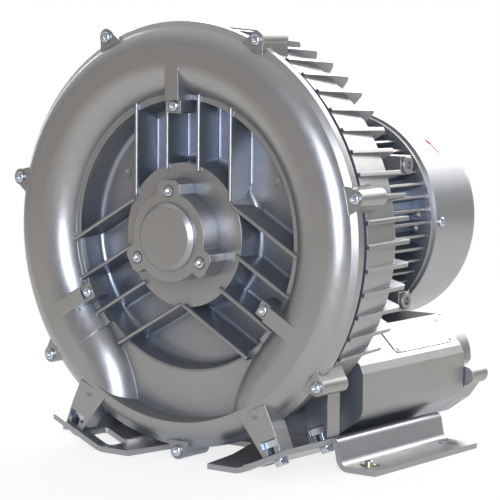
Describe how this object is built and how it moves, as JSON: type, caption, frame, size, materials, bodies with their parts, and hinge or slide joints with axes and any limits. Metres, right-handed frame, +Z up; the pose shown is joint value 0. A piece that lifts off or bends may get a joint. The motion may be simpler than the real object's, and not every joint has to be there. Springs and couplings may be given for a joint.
{
  "type": "side channel blower",
  "caption": "Side channel blower: finned two-part ring housing with impeller, fan-cooled motor, silencer with two threaded rear ports and a bent-sheet foot.",
  "frame": {"origin": "centre of the four foot slots on the underside of the foot bracket", "axes": "+Z up, +Y to the back along the rotor axis (motor end), +X to the right seen from the front cover"},
  "size_m": [0.3188, 0.2947, 0.318],
  "materials": {
    "bearing_steel": "polished bearing steel",
    "black_plastic": "moulded plastic",
    "black_rubber": "moulded rubber",
    "brass": "turned brass",
    "copper_winding": "varnished copper wire",
    "core_steel": "stacked electrical steel",
    "cowl_sheet": "satin silver-grey lacquer over pressed steel sheet",
    "fan_plastic": "moulded plastic",
    "foot_sheet": "satin silver-grey lacquer over bent steel sheet",
    "gasket_paper": "flat gasket",
    "grey_foam": "open-cell foam",
    "ground_steel": "ground steel",
    "painted_casting": "satin silver-grey lacquer over die-cast aluminium",
    "raw_aluminium": "bare cast aluminium",
    "zinc_steel": "zinc-plated steel"
  },
  "bodies": {
    "stator_assembly": {"bearing_cap": "painted_casting", "bearing_cap_screws": "zinc_steel", "cable_entry_plugs": "black_plastic", "cover_screws": "zinc_steel", "cowl_screws": "zinc_steel", "fan_cowl": "cowl_sheet", "foot_bracket": "foot_sheet", "foot_nuts": "zinc_steel", "foot_screws": "zinc_steel", "front_bearing_balls": "bearing_steel", "front_bearing_outer_ring": "bearing_steel", "front_cover": "painted_casting", "lid_screws": "zinc_steel", "motor_flange_screws": "zinc_steel", "motor_frame": "painted_casting", "pad_screws": "zinc_steel", "rear_bearing_balls": "bearing_steel", "rear_bearing_outer_ring": "bearing_steel", "rear_end_shield": "painted_casting", "rear_housing": "painted_casting", "shaft_seal": "black_rubber", "silencer_cover_screws": "zinc_steel", "silencer_end_cover": "painted_casting", "silencer_gasket": "gasket_paper", "silencer_housing": "painted_casting", "silencer_liners": "grey_foam", "stator_core": "core_steel", "stator_windings": "copper_winding", "terminal_block": "black_plastic", "terminal_box": "painted_casting", "terminal_box_gasket": "black_rubber", "terminal_box_lid": "painted_casting", "terminal_studs": "brass", "wave_spring": "ground_steel"},
    "rotor_assembly": {"shaft": "ground_steel", "spacer_sleeve": "ground_steel", "shaft_nut": "ground_steel", "impeller_key": "ground_steel", "impeller": "raw_aluminium", "rotor_core": "core_steel", "front_bearing_inner_ring": "bearing_steel", "rear_bearing_inner_ring": "bearing_steel", "cooling_fan": "fan_plastic", "fan_clip": "ground_steel"}
  },
  "joints": [
    {"name": "rotor_spin", "type": "hinge", "parent": "stator_assembly", "child": "rotor_assembly", "pos_m": [0, 0, 0.164], "axis": [0, 1, 0], "continuous": true}
  ]
}
